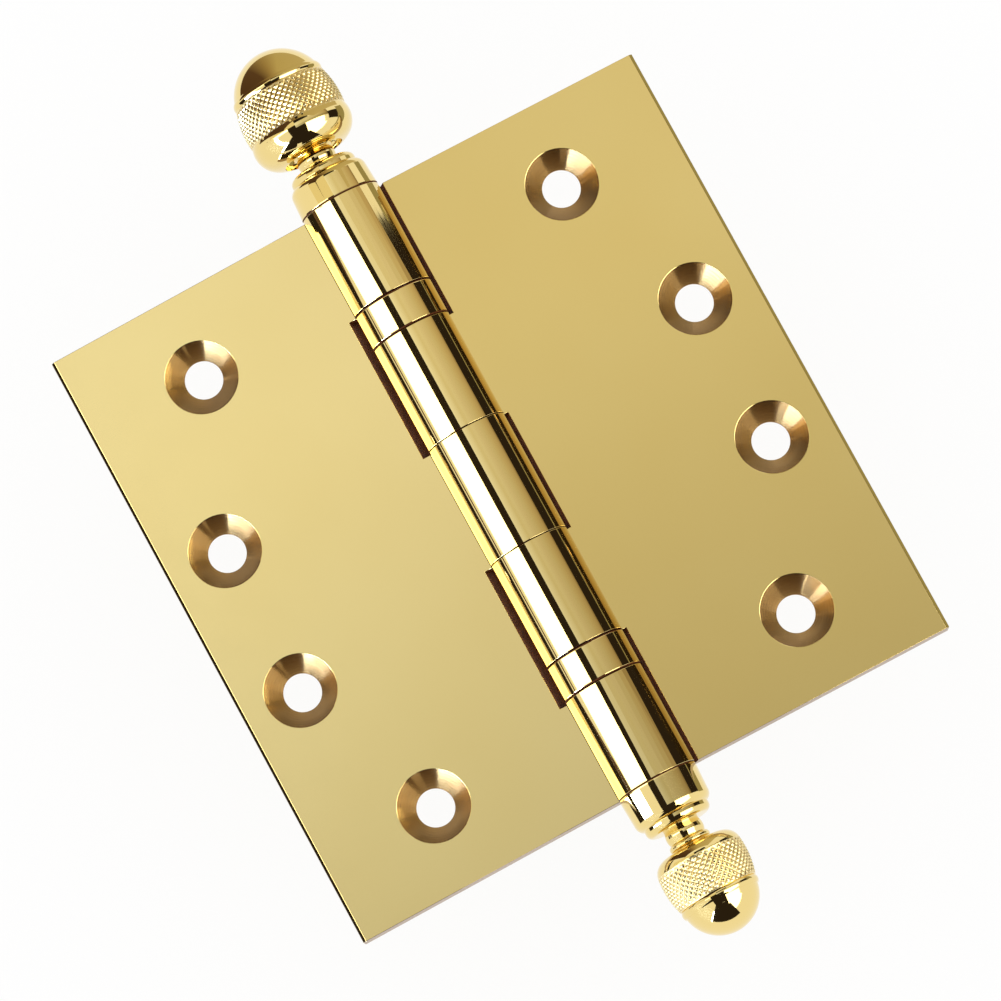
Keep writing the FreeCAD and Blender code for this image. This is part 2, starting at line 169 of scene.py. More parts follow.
@dataclass(frozen=True)
class PolishedBrass:
    """Solid brass, buffed to a mirror and lacquered.

    The eye sees a clear mirror with a warm tint, a faint haze where the mop passed, and
    fine buffing lines along the pin that only show where a lamp grazes them.
    """

    name: str = "polished_lacquered_brass"
    colour: str = "F3DC96"
    deep_colour: str = "EDD286"
    patch_mm: float = 34.0
    haze_mm: float = 5.0
    buffing_mm: float = 0.3
    buffing_length_mm: float = 9.0
    smoothest: float = 0.03
    haziest: float = 0.07
    buffing_depth_mm: float = 0.0006
    buffing_strength: float = 0.3
    lacquer: float = 0.2
    lacquer_haze: float = 0.03

    def make(self) -> bpy.types.Material:
        """Build the material.

        Returns:
            The material, patterned on Object coordinates.
        """
        material, tree = new_material(self.name)
        place = add_node(tree, "ShaderNodeTexCoord").outputs["Object"]
        patches = add_node(
            tree, "ShaderNodeTexNoise", {"Vector": place, "Scale": per_metre(self.patch_mm), "Detail": 2.0}
        )
        tint = add_node(
            tree,
            "ShaderNodeMix",
            {"Factor": patches.outputs["Fac"], "A": linear(self.colour), "B": linear(self.deep_colour)},
            data_type="RGBA",
        )
        haze = add_node(
            tree, "ShaderNodeTexNoise", {"Vector": place, "Scale": per_metre(self.haze_mm), "Detail": 4.0}
        )
        gloss = add_node(
            tree,
            "ShaderNodeMapRange",
            {"Value": haze.outputs["Fac"], "To Min": self.smoothest, "To Max": self.haziest},
        )
        lines = add_node(
            tree,
            "ShaderNodeMapping",
            {
                "Vector": place,
                "Scale": (
                    per_metre(self.buffing_mm),
                    per_metre(self.buffing_length_mm),
                    per_metre(self.buffing_mm),
                ),
            },
        )
        buffing = add_node(
            tree, "ShaderNodeTexNoise", {"Vector": lines.outputs[0], "Scale": 1.0, "Detail": 2.0}
        )
        bump = add_node(
            tree,
            "ShaderNodeBump",
            {
                "Height": buffing.outputs["Fac"],
                "Strength": self.buffing_strength,
                "Distance": self.buffing_depth_mm * MM,
            },
        )
        shader = add_node(
            tree,
            "ShaderNodeBsdfPrincipled",
            {
                "Base Color": tint.outputs["Result"],
                "Metallic": 1.0,
                "Roughness": gloss.outputs["Result"],
                "Normal": bump.outputs["Normal"],
                "Coat Weight": self.lacquer,
                "Coat Roughness": self.lacquer_haze,
            },
        )
        add_node(tree, "ShaderNodeOutputMaterial", {"Surface": shader.outputs["BSDF"]})
        return material


@dataclass(frozen=True)
class TurnedBrass:
    """Bare brass as a countersink cutter leaves it.

    The eye sees bright and dark wedges that run in towards the hole, because the cutter's fine
    rings spread each reflection up and down the cone but hardly round it.
    """

    name: str = "countersunk_brass"
    colour: str = "B8945C"
    ring_colour: str = "A67E46"
    ring_mm: float = 0.42
    ring_share: float = 0.4
    grit_mm: float = 0.9
    smoothest: float = 0.21
    haziest: float = 0.26
    spread: float = 0.93
    radius_layer: str = "turning_radius"

    def make(self) -> bpy.types.Material:
        """Build the material.

        Returns:
            The material, whose rings follow the distance to the hole's axis in millimetres.
        """
        material, tree = new_material(self.name)
        place = add_node(tree, "ShaderNodeTexCoord").outputs["Object"]
        radius = add_node(tree, "ShaderNodeAttribute", attribute_name=self.radius_layer).outputs["Fac"]
        turns = add_node(
            tree, "ShaderNodeMath", {0: radius, 1: 2 * math.pi / self.ring_mm}, operation="MULTIPLY"
        )
        rings = add_node(tree, "ShaderNodeMath", {0: turns.outputs[0]}, operation="SINE")
        share = add_node(
            tree,
            "ShaderNodeMapRange",
            {"Value": rings.outputs[0], "From Min": -1.0, "To Max": self.ring_share},
        )
        tint = add_node(
            tree,
            "ShaderNodeMix",
            {"Factor": share.outputs["Result"], "A": linear(self.colour), "B": linear(self.ring_colour)},
            data_type="RGBA",
        )
        grit = add_node(
            tree, "ShaderNodeTexNoise", {"Vector": place, "Scale": per_metre(self.grit_mm), "Detail": 3.0}
        )
        gloss = add_node(
            tree,
            "ShaderNodeMapRange",
            {"Value": grit.outputs["Fac"], "To Min": self.smoothest, "To Max": self.haziest},
        )
        up_the_cone = add_node(
            tree,
            "ShaderNodeVectorTransform",
            {"Vector": UPRIGHT},
            vector_type="VECTOR",
            convert_from="OBJECT",
            convert_to="WORLD",
        )
        shader = add_node(
            tree,
            "ShaderNodeBsdfPrincipled",
            {
                "Base Color": tint.outputs["Result"],
                "Metallic": 1.0,
                "Roughness": gloss.outputs["Result"],
                "Anisotropic": self.spread,
                "Tangent": up_the_cone.outputs["Vector"],
            },
        )
        add_node(tree, "ShaderNodeOutputMaterial", {"Surface": shader.outputs["BSDF"]})
        return material


@dataclass(frozen=True)
class KnurledBrass:
    """Brass rolled by a diamond knurl and lacquered with the rest of the finial.

    The eye sees pale crests, and grooves darkened with painted shade.
    """

    name: str = "knurled_brass"
    crest_colour: str = "FAEBB6"
    groove_shade_colour: str = "E2C074"
    grain_mm: float = 0.5
    smoothest: float = 0.22
    haziest: float = 0.32
    lacquer: float = 0.15
    lacquer_haze: float = 0.08
    crest_layer: str = "knurl_crest"

    def make(self) -> bpy.types.Material:
        """Build the material.

        Returns:
            The material, tinted by the height between groove and crest.
        """
        material, tree = new_material(self.name)
        place = add_node(tree, "ShaderNodeTexCoord").outputs["Object"]
        crest = add_node(tree, "ShaderNodeAttribute", attribute_name=self.crest_layer).outputs["Fac"]
        grain = add_node(
            tree, "ShaderNodeTexNoise", {"Vector": place, "Scale": per_metre(self.grain_mm), "Detail": 3.0}
        )
        # The grooves are darkened with painted shade and the crests left pale
        tint = add_node(
            tree,
            "ShaderNodeMix",
            {"Factor": crest, "A": linear(self.groove_shade_colour), "B": linear(self.crest_colour)},
            data_type="RGBA",
        )
        gloss = add_node(
            tree,
            "ShaderNodeMapRange",
            {"Value": grain.outputs["Fac"], "To Min": self.smoothest, "To Max": self.haziest},
        )
        shader = add_node(
            tree,
            "ShaderNodeBsdfPrincipled",
            {
                "Base Color": tint.outputs["Result"],
                "Metallic": 1.0,
                "Roughness": gloss.outputs["Result"],
                "Coat Weight": self.lacquer,
                "Coat Roughness": self.lacquer_haze,
            },
        )
        add_node(tree, "ShaderNodeOutputMaterial", {"Surface": shader.outputs["BSDF"]})
        return material


@dataclass(frozen=True)
class FineMetal:
    """A bare metal of the bearings, the pin or the edges of the leaves.

    The eye sees a plain metal whose gloss changes a little along its grain.
    """

    name: str
    colour: str
    grain_colour: str
    grain_mm: tuple[float, float, float]
    smoothest: float
    haziest: float

    def make(self) -> bpy.types.Material:
        """Build the material.

        Returns:
            The material, with grain of the given size along X, Y and Z.
        """
        material, tree = new_material(self.name)
        place = add_node(tree, "ShaderNodeTexCoord").outputs["Object"]
        scale = tuple(per_metre(size) for size in self.grain_mm)
        stretch = add_node(tree, "ShaderNodeMapping", {"Vector": place, "Scale": scale})
        grain = add_node(
            tree, "ShaderNodeTexNoise", {"Vector": stretch.outputs[0], "Scale": 1.0, "Detail": 3.0}
        ).outputs["Fac"]
        tint = add_node(
            tree,
            "ShaderNodeMix",
            {"Factor": grain, "A": linear(self.colour), "B": linear(self.grain_colour)},
            data_type="RGBA",
        )
        gloss = add_node(
            tree, "ShaderNodeMapRange", {"Value": grain, "To Min": self.smoothest, "To Max": self.haziest}
        )
        shader = add_node(
            tree,
            "ShaderNodeBsdfPrincipled",
            {"Base Color": tint.outputs["Result"], "Metallic": 1.0, "Roughness": gloss.outputs["Result"]},
        )
        add_node(tree, "ShaderNodeOutputMaterial", {"Surface": shader.outputs["BSDF"]})
        return material


GROUND_STEEL = FineMetal("ground_steel", "C4C4C6", "A8A8AC", (6.0, 0.15, 6.0), 0.16, 0.3)
POLISHED_STEEL = FineMetal("hardened_bearing_steel", "D2D2D6", "BDBEC4", (0.8, 0.8, 0.8), 0.05, 0.12)
PRESSED_BRASS = FineMetal("pressed_cage_brass", "D8B868", "C09A4C", (0.7, 0.7, 0.7), 0.2, 0.34)
SAWN_BRASS = FineMetal("sawn_brass_edge", "B9A28C", "9C8468", (0.4, 0.4, 2.0), 0.3, 0.42)
# Tarnish with painted shade, dark brown, for the long side edges of the leaves
EDGE_TARNISH_AND_SHADE = FineMetal("tarnish_and_painted_edge_shade", "7E5C34", "523A20", (2.0, 5.0, 0.5), 0.26, 0.4)


@dataclass(frozen=True)
class GapShade:
    """Painted shade in the gaps between the knuckles, the seams of the bands and the slots of the leaves.

    The eye sees a dull dark brown with darker patches.
    """

    name: str = "painted_gap_shade"
    colour: str = "6E3C1A"
    dark_colour: str = "3C1C0A"
    patch_mm: float = 1.4
    smoothest: float = 0.5
    haziest: float = 0.7
    shine: float = 0.04

    def make(self) -> bpy.types.Material:
        """Build the material.

        Returns:
            The material, patterned on Object coordinates.
        """
        material, tree = new_material(self.name)
        place = add_node(tree, "ShaderNodeTexCoord").outputs["Object"]
        patches = add_node(
            tree, "ShaderNodeTexNoise", {"Vector": place, "Scale": per_metre(self.patch_mm), "Detail": 4.0}
        ).outputs["Fac"]
        tint = add_node(
            tree,
            "ShaderNodeMix",
            {"Factor": patches, "A": linear(self.colour), "B": linear(self.dark_colour)},
            data_type="RGBA",
        )
        gloss = add_node(
            tree, "ShaderNodeMapRange", {"Value": patches, "To Min": self.smoothest, "To Max": self.haziest}
        )
        shader = add_node(
            tree,
            "ShaderNodeBsdfPrincipled",
            {
                "Base Color": tint.outputs["Result"],
                "Roughness": gloss.outputs["Result"],
                "Specular IOR Level": self.shine,
            },
        )
        add_node(tree, "ShaderNodeOutputMaterial", {"Surface": shader.outputs["BSDF"]})
        return material


@dataclass(frozen=True)
class BrassSet:
    """The finishes of the brass pieces, made once and shared."""

    polished: bpy.types.Material
    turned: bpy.types.Material
    knurled: bpy.types.Material
    sawn: bpy.types.Material
    # gap holds painted shade for the gaps, tarnish_and_shade holds tarnish with painted shade for the long
    # edges
    gap: bpy.types.Material
    tarnish_and_shade: bpy.types.Material


# Mesh helpers


def arc(start: Vector, finish: Vector, radius: float, steps: int) -> list[Vector]:
    """Give points along the shorter arc from start to finish, its centre left of the way along.

    Args:
        start: First point, left out of the result.
        finish: Last point, included.
        radius: Radius of the arc.
        steps: Number of points.

    Returns:
        The points after start, in order.
    """
    chord = finish - start
    left = Vector((-chord.y, chord.x)).normalized()
    centre = start + chord / 2 + left * math.sqrt(radius**2 - (chord.length / 2) ** 2)
    spoke = start - centre
    turn = 2 * math.asin(chord.length / 2 / radius)
    points = []
    for step in range(1, steps + 1):
        angle = turn * step / steps
        points.append(centre + Matrix.Rotation(angle, 2) @ spoke)
    return points


def turn_profile(profile: list[Vector], steps: int) -> bmesh.types.BMesh:
    """Spin an outline about the pin axis.

    Args:
        profile: Points as radius and place along the pin, in millimetres.
        steps: Segments of the full turn.

    Returns:
        A closed mesh with its normals outward, in metres.
    """
    bm = bmesh.new()
    verts = [bm.verts.new((point.x * MM, point.y * MM, 0)) for point in profile]
    edges = [bm.edges.new(pair) for pair in zip(verts, verts[1:])]
    bmesh.ops.spin(
        bm, geom=verts + edges, cent=(0, 0, 0), axis=ALONG_PIN, angle=math.tau, steps=steps, use_merge=True
    )
    bmesh.ops.remove_doubles(bm, verts=bm.verts, dist=MERGE_MM * MM)
    bmesh.ops.recalc_face_normals(bm, faces=bm.faces)
    return bm


def link_mesh(bm: bmesh.types.BMesh, name: str, materials: list[bpy.types.Material]) -> bpy.types.Object:
    """Make an object of a mesh and put it in the scene.

    Args:
        bm: The mesh, freed here.
        name: Name of the piece.
        materials: Its materials, by face index.

    Returns:
        The object, at the origin.
    """
    mesh = bpy.data.meshes.new(name)
    bm.to_mesh(mesh)
    bm.free()
    for material in materials:
        mesh.materials.append(material)
    piece = bpy.data.objects.new(name, mesh)
    bpy.context.scene.collection.objects.link(piece)
    return piece


# Pieces of the hinge


def barrel_mm() -> float:
    """Give the outer radius of the barrel, which the bearing shells share with the knuckles."""
    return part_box("upper_bearing_shell")[1].x / MM


@dataclass
class Piece:
    """A piece that stands for one CAD node and moves with that node's body."""

    node: str
    body: str
    slot: Slot

    def even_out(self, piece: bpy.types.Object, corner_angle: float) -> None:
        """Let the broad faces rule the shading where they meet a rounded edge.

        Args:
            piece: The finished object.
            corner_angle: Turn in degrees from which an edge stays sharp.
        """
        piece.data.set_sharp_from_angle(angle=math.radians(corner_angle))
        shading = piece.modifiers.new("even_shading", "WEIGHTED_NORMAL")
        shading.mode = "FACE_AREA"
        shading.weight = 90
        shading.keep_sharp = True

    def stand_in(self, piece: bpy.types.Object) -> bpy.types.Object:
        """Let a finished mesh take the node's place.

        Args:
            piece: The finished object.

        Returns:
            The same object.
        """
        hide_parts(self.node)
        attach(piece, self.body)
        log.info("%s: %d faces", piece.name, len(piece.data.polygons))
        return piece


@dataclass
class Leaf(Piece):
    """A leaf with its knuckles: its long edge is chamfered and its outline eased, its holes stay crisp."""

    chamfer_mm: float = 0.5
    rim_share: float = 0.97
    outline_round_mm: float = 0.3
    end_round_mm: float = 0.12
    knuckle_round_mm: float = 0.06
    hole_round_mm: float = 0.05
    round_segments: int = 3
    corner_angle: float = 28.0
    flat_angle: float = 0.2
    plate_start: float = 2.0
    barrel_margin_mm: float = 2.0
    hole_reach_mm: float = 6.4

    def hole_centres(self) -> list[Vector]:
        """Give the centres of the leaf's screw holes at its back, read from the record's mounts.

        Returns:
            Points in metres.
        """
        centres = []
        for mount in frame["record"]["mounts"]:
            if mount["name"].startswith(self.node) and mount["kind"] == "bolt_pattern":
                half = ALONG_PIN * mount["dims"]["pcd_mm"] * MM / 2
                centres += [Vector(mount["pos_m"]) + half, Vector(mount["pos_m"]) - half]
        return centres

    def face_direction(self) -> Vector:
        """Give the direction that the leaf's countersunk face looks in."""
        back = next(m for m in frame["record"]["mounts"] if m["name"] == f"{self.node}_back")
        return -Vector(back["axis"])

    def build(self, brass: BrassSet) -> bpy.types.Object:
        """Ease the edges of the leaf and set its holes and edges apart from its polished faces.

        Args:
            brass: Finishes of the brass.

        Returns:
            The leaf.
        """
        bm = bmesh.new()
        bm.from_mesh(frame["nodes"][self.node].data)
        bmesh.ops.remove_doubles(bm, verts=bm.verts, dist=MERGE_MM * MM)
        flat = math.radians(self.flat_angle)
        bmesh.ops.dissolve_limit(bm, angle_limit=flat, verts=bm.verts, edges=bm.edges)
        facing, barrel = self.face_direction(), barrel_mm()
        self.chamfer(bm, facing)
        radius = self.measure_holes(bm)
        for face in bm.faces:
            in_hole = all(vert[radius] < self.hole_reach_mm for vert in face.verts)
            face.material_index = self.finish_of(face, in_hole, facing, barrel).value
            face.smooth = True
        self.weigh_edges(bm)
        finishes = [brass.polished, brass.turned, brass.sawn, brass.gap, brass.tarnish_and_shade]
        piece = link_mesh(bm, f"{self.node}_dressed", finishes)
        easing = piece.modifiers.new("eased_edges", "BEVEL")
        easing.width = self.outline_round_mm * MM
        easing.segments = self.round_segments
        easing.profile = 0.5
        easing.limit_method = "WEIGHT"
        easing.material = -1
        self.even_out(piece, self.corner_angle)
        return self.stand_in(piece)

    def chamfer(self, bm: bmesh.types.BMesh, facing: Vector) -> None:
        """Break the long outer edge of the countersunk face.

        Args:
            bm: The leaf's mesh.
            facing: Direction that the countersunk face looks in.
        """
        rim = max(math.hypot(vert.co.x, vert.co.z) for vert in bm.verts)
        long_edges = []
        for edge in bm.edges:
            first, last = (vert.co for vert in edge.verts)
            outside = min(math.hypot(end.x, end.z) for end in (first, last)) > self.rim_share * rim
            upper = any(face.normal.dot(facing) > SAME_WAY for face in edge.link_faces)
            lengthwise = abs((last - first).normalized().dot(ALONG_PIN)) > SAME_WAY
            if outside and upper and lengthwise and edge.calc_face_angle() > math.radians(self.corner_angle):
                long_edges.append(edge)
        bmesh.ops.bevel(
            bm,
            geom=long_edges,
            offset=self.chamfer_mm * MM,
            offset_type="OFFSET",
            affect="EDGES",
            segments=1,
            profile=0.5,
            material=-1,
        )
        log.info("%s: %d chamfered edges", self.node, len(long_edges))

    def measure_holes(self, bm: bmesh.types.BMesh) -> bmesh.types.BMLayerItem:
        """Note each vertex's distance from its hole's axis, for the rings of the countersinks.

        Args:
            bm: The leaf's mesh.

        Returns:
            The layer that holds the distances, in millimetres.
        """
        radius = bm.verts.layers.float.new(TurnedBrass.radius_layer)
        facing, centres = self.face_direction(), self.hole_centres()
        for vert in bm.verts:
            vert[radius] = min((vert.co - centre).cross(facing).length for centre in centres) / MM
        return radius

    def finish_of(self, face: bmesh.types.BMFace, in_hole: bool, facing: Vector, barrel: float) -> LeafFinish:
        """Tell which finish a face of the leaf has.

        Args:
            face: The face.
            in_hole: Whether the face lies within a countersink's reach.
            facing: Direction that the countersunk face looks in.
            barrel: Outer radius of the knuckles, in millimetres.

        Returns:
            Polished for the broad faces and knuckles, and a duller finish for holes and edges, with painted
            shade on the knuckle ends and slots and tarnish with painted shade on the long side edges.
        """
        middle = face.calc_center_median()
        around = Vector((middle.x, 0, middle.z))
        inward = face.normal.dot(around.normalized()) < -ASLANT
        broad = abs(face.normal.dot(facing)) > math.cos(math.radians(self.corner_angle))
        reach = max(math.hypot(vert.co.x, vert.co.z) for vert in face.verts) / MM
        if in_hole and not broad:
            return LeafFinish.TURNED
        # Knuckle ends near the barrel take the gap finish, which is painted shade
        if abs(face.normal.y) > SAME_WAY:
            return LeafFinish.SAWN if reach > self.plate_start * barrel else LeafFinish.GAP
        # Slot faces that look towards the pin take painted shade
        if inward:
            return LeafFinish.GAP
        # Long side edges take tarnish with painted shade
        if around.length / MM > self.plate_start * barrel and abs(face.normal.dot(facing)) < ASLANT:
            return LeafFinish.TARNISH_AND_SHADE
        return LeafFinish.POLISHED

    def weigh_edges(self, bm: bmesh.types.BMesh) -> None:
        """Say how far each sharp outer edge is rounded, as a share of the outline's rounding.

        Args:
            bm: The leaf's mesh.
        """
        radius = bm.verts.layers.float[TurnedBrass.radius_layer]
        weight = bm.edges.layers.float.new("bevel_weight_edge")
        barrel = barrel_mm() + self.barrel_margin_mm
        facing = self.face_direction()
        for edge in bm.edges:
            if not edge.is_manifold or not edge.is_convex:
                continue
            if edge.calc_face_angle() < math.radians(self.corner_angle):
                continue
            reach = min(math.hypot(vert.co.x, vert.co.z) for vert in edge.verts) / MM
            on_chamfer = any(ASLANT < face.normal.dot(facing) < SAME_WAY for face in edge.link_faces)
            if all(vert[radius] < self.hole_reach_mm for vert in edge.verts):
                edge[weight] = self.hole_round_mm / self.outline_round_mm
            elif reach < barrel or on_chamfer:
                edge[weight] = self.knuckle_round_mm / self.outline_round_mm
            elif any(abs(face.normal.y) > SAME_WAY for face in edge.link_faces):
                edge[weight] = self.end_round_mm / self.outline_round_mm
            else:
                edge[weight] = 1.0


@dataclass
class BearingShell(Piece):
    """The brass band round a bearing, turned with rounded outer edges."""

    wall_mm: float = 0.8
    round_mm: float = 0.35
    round_steps: int = 6
    turn_steps: int = 144
    seam_slope: float = 0.28
    corner_angle: float = 40.0

    def build(self, brass: BrassSet) -> bpy.types.Object:
        """Turn the band, with painted shade on its ends in the seams.

        Args:
            brass: Finishes of the brass.

        Returns:
            The band.
        """
        low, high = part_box(self.node)
        outside = (high.x - low.x) / 2 / MM
        bottom, top = low.y / MM, high.y / MM
        inset = outside - self.round_mm
        profile = [Vector((outside - self.wall_mm, bottom)), Vector((inset, bottom))]
        lower_edge = Vector((outside, bottom + self.round_mm))
        profile += arc(profile[-1], lower_edge, self.round_mm, self.round_steps)
        profile.append(Vector((outside, top - self.round_mm)))
        profile += arc(profile[-1], Vector((inset, top)), self.round_mm, self.round_steps)
        profile += [Vector((outside - self.wall_mm, top)), profile[0]]
        bm = turn_profile(profile, self.turn_steps)
        for face in bm.faces:
            # End faces and the steep part of the rounding take painted shade for the seams
            face.material_index = int(abs(face.normal.y) > self.seam_slope)
            face.smooth = True
        piece = link_mesh(bm, f"{self.node}_dressed", [brass.polished, brass.gap])
        self.even_out(piece, self.corner_angle)
        return self.stand_in(piece)


@dataclass
class Finial(Piece):
    """A turned acorn with a tapered collar, a ring, a beaded neck and a band of diamond knurling."""

    turned_round: bool
    knurls: int
    collar_length: float
    acorn_radius: float
    cup_edge: float
    cup_drop: float
    hollow_arc: float
    cup_length: float
    cup_arc: float
    band_length: float
    dome_length: float
    dome_arc: float
    tip_height: float
    stud_radius: float = 2.0
    stud_length: float = 8.0
    seat_round: float = 0.24
    seat_steps: int = 3
    seam_slope: float = 0.2
    taper_hold: float = 0.06
    collar_taper: float = 0.2
    collar_fall: float = 1.2
    collar_arc: float = 1.45
    ring_radius: float = 5.4
    ring_length: float = 0.5
    ring_fall: float = 1.0
    neck_radius: float = 2.9
    neck_length: float = 0.3
    swell_length: float = 2.0
    swell_arc: float = 2.4
    bead_length: float = 1.4
    bead_arc: float = 0.75
    acorn_root: float = 0.3
    cup_relief: float = 0.15
    band_arc: float = 14.0
    band_relief: float = 0.7
    rim_length: float = 1.3
    rim_arc: float = 1.0
    rim_relief: float = 0.9
    dome_step: float = 0.15
    tip_radius: float = 1.2
    arc_steps: int = 8
    knurl_steps: int = 8
    knurl_rows: int = 6
    knurl_depth: float = 0.3
    knurl_crest: float = 1.25
    knurl_fade: float = 8.0
    edge_share: float = 0.001
    band_margin: float = 0.1
    corner_angle: float = 50.0

    def seat(self) -> float:
        """Give the place along the pin where the collar meets the knuckle, in millimetres."""
        low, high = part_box(self.node)
        return max(abs(low.y), abs(high.y)) / MM - self.length()

    def length(self) -> float:
        """Give the length from the seat to the tip."""
        return self.band_end() + self.rim_length + self.dome_length + self.tip_height

    def root(self) -> float:
        """Give the place where the neck meets the acorn, from the seat."""
        collar = self.collar_length + self.collar_fall + self.ring_length + self.ring_fall
        return collar + self.neck_length + self.swell_length + self.bead_length + self.acorn_root

    def band_start(self) -> float:
        """Give the place of the knurled band's first edge, from the seat."""
        return self.root() + self.cup_length

    def band_end(self) -> float:
        """Give the place of the knurled band's last edge, from the seat."""
        return self.band_start() + self.band_length

    def foot(self) -> list[Vector]:
        """Give the section of the stud, the collar and the ring.

        Returns:
            Points as radius and place along the pin, from the seat.
        """
        barrel = barrel_mm()
        collar_end = self.collar_length + self.collar_fall
        ring_end = collar_end + self.ring_length
        points = [Vector((0, -self.stud_length)), Vector((self.stud_radius, -self.stud_length))]
        points += [Vector((self.stud_radius, 0)), Vector((barrel - self.seat_round, 0))]
        points += arc(points[-1], Vector((barrel, self.seat_round)), self.seat_round, self.seat_steps)
        shoulder = Vector((barrel - self.collar_taper, self.collar_length))
        # Points close to both ends of the taper keep its shading straight
        points += [points[-1].lerp(shoulder, share) for share in (self.taper_hold, 1 - self.taper_hold, 1)]
        points += arc(points[-1], Vector((self.ring_radius, collar_end)), self.collar_arc, self.arc_steps)
        points.append(Vector((self.ring_radius, ring_end)))
        fall = Vector((self.ring_radius - self.ring_fall, ring_end + self.ring_fall))
        points += arc(points[-1], fall, self.ring_fall, self.arc_steps)
        points.append(Vector((self.neck_radius, fall.y)))
        return points

    def acorn(self) -> list[Vector]:
        """Give the section of the acorn, from the root of its cup to its tip.

        Returns:
            Points as radius and place along the pin, from the seat.
        """
        rim_radius = self.acorn_radius - self.rim_relief
        dome_start = self.band_end() + self.rim_length
        edge = Vector((self.cup_edge, self.root() - self.cup_drop))
        points = [Vector((self.neck_radius, self.root()))]
        hollow = arc(edge, points[0], self.hollow_arc, self.arc_steps)
        points += [*reversed(hollow[:-1]), edge]
        cup = Vector((self.acorn_radius - self.cup_relief, self.band_start()))
        points += arc(edge, cup, self.cup_arc, 2 * self.arc_steps)
        band = Vector((self.acorn_radius - self.band_relief, self.band_end()))
        points += arc(cup, band, self.band_arc, self.knurl_rows * self.knurl_steps)
        points.append(Vector((rim_radius, self.band_end())))
        points += arc(points[-1], Vector((rim_radius, dome_start)), self.rim_arc, self.arc_steps)
        points.append(Vector((rim_radius - self.dome_step, dome_start)))
        tip_edge = Vector((self.tip_radius, dome_start + self.dome_length))
        points += arc(points[-1], tip_edge, self.dome_arc, 2 * self.arc_steps)
        tip_arc = (self.tip_radius**2 + self.tip_height**2) / (2 * self.tip_height)
        points += arc(points[-1], Vector((0, tip_edge.y + self.tip_height)), tip_arc, self.arc_steps)
        return points

    def profile(self) -> list[Vector]:
        """Give half of the finial's section, from the end of its stud to the tip of its acorn.

        Returns:
            Points as radius and place along the pin, from the seat.
        """
        points = self.foot()
        level = points[-1].y + self.neck_length
        points.append(Vector((self.neck_radius, level)))
        for length, radius in ((self.swell_length, self.swell_arc), (self.bead_length, self.bead_arc)):
            level += length
            points += arc(points[-1], Vector((self.neck_radius, level)), radius, self.arc_steps)
        return points + self.acorn()

    def build(self, brass: BrassSet) -> bpy.types.Object:
        """Turn the finial, roll its knurl and set it on its end of the pin.

        Args:
            brass: Finishes of the brass.

        Returns:
            The finial.
        """
        bm = turn_profile(self.profile(), self.knurls * self.knurl_steps)
        self.roll_knurl(bm)
        for face in bm.faces:
            # The collar's face against the knuckle takes painted shade for the seam
            if face.calc_center_median().y / MM < self.seat_round and face.normal.y < -self.seam_slope:
                face.material_index = FinialFinish.GAP.value
        bmesh.ops.translate(bm, verts=bm.verts, vec=ALONG_PIN * self.seat() * MM)
        if self.turned_round:
            half_turn = Matrix.Rotation(math.pi, 3, UPRIGHT)
            bmesh.ops.rotate(bm, verts=bm.verts, cent=(0, 0, 0), matrix=half_turn)
        for face in bm.faces:
            face.smooth = True
        piece = link_mesh(bm, f"{self.node}_dressed", [brass.polished, brass.knurled, brass.gap])
        self.even_out(piece, self.corner_angle)
        return self.stand_in(piece)

    def roll_knurl(self, bm: bmesh.types.BMesh) -> None:
        """Press the crossed grooves of the knurl into the band, fading out at its edges.

        Args:
            bm: The turned finial, standing on its seat.
        """
        crest = bm.verts.layers.float.new(KnurledBrass.crest_layer)
        start, end = self.band_start(), self.band_end()
        lowest = self.acorn_radius - self.band_relief
        for vert in bm.verts:
            vert[crest] = 1.0
            radius = math.hypot(vert.co.x, vert.co.z) / MM
            share = (vert.co.y / MM - start) / (end - start)
            if not self.edge_share < share < 1 - self.edge_share or radius < lowest - self.band_margin:
                continue
            around = math.atan2(vert.co.z, vert.co.x) / math.tau * self.knurls
            along = share * self.knurl_rows
            grooves = [abs(line - round(line)) * 2 for line in (around + along, around - along)]
            # The crest height also sets the painted shade of the grooves
            vert[crest] = min(1.0, self.knurl_crest * min(grooves))
            fade = min(1.0, self.knurl_fade * share, self.knurl_fade * (1 - share))
            depth = self.knurl_depth * (1 - vert[crest]) * fade
            inward = (radius - depth) / radius
            vert.co.x *= inward
            vert.co.z *= inward
        for face in bm.faces:
            middle = face.calc_center_median()
            on_band = start < middle.y / MM < end
            if on_band and math.hypot(middle.x, middle.z) / MM > lowest - self.knurl_depth:
                face.material_index = FinialFinish.KNURLED.value


TOP_FINIAL = Finial(
    node="top_finial",
    body="frame_side",
    slot=Slot.BRASS,
    turned_round=False,
    knurls=46,
    collar_length=3.8,
    acorn_radius=8.2,
    cup_edge=4.9,
    cup_drop=1.8,
    hollow_arc=1.5,
    cup_length=3.1,
    cup_arc=3.8,
    band_length=6.3,
    dome_length=5.25,
    dome_arc=7.6,
    tip_height=0.1,
)
BOTTOM_FINIAL = Finial(
    node="bottom_finial",
    body="frame_side",
    slot=Slot.BRASS,
    turned_round=True,
    knurls=40,
    collar_length=4.9,
    acorn_radius=7.15,
    cup_edge=4.4,
    cup_drop=0.3,
    hollow_arc=1.0,
    cup_length=1.8,
    cup_arc=2.4,
    band_length=6.1,
    dome_length=4.98,
    dome_arc=6.2,
    tip_height=0.12,
)


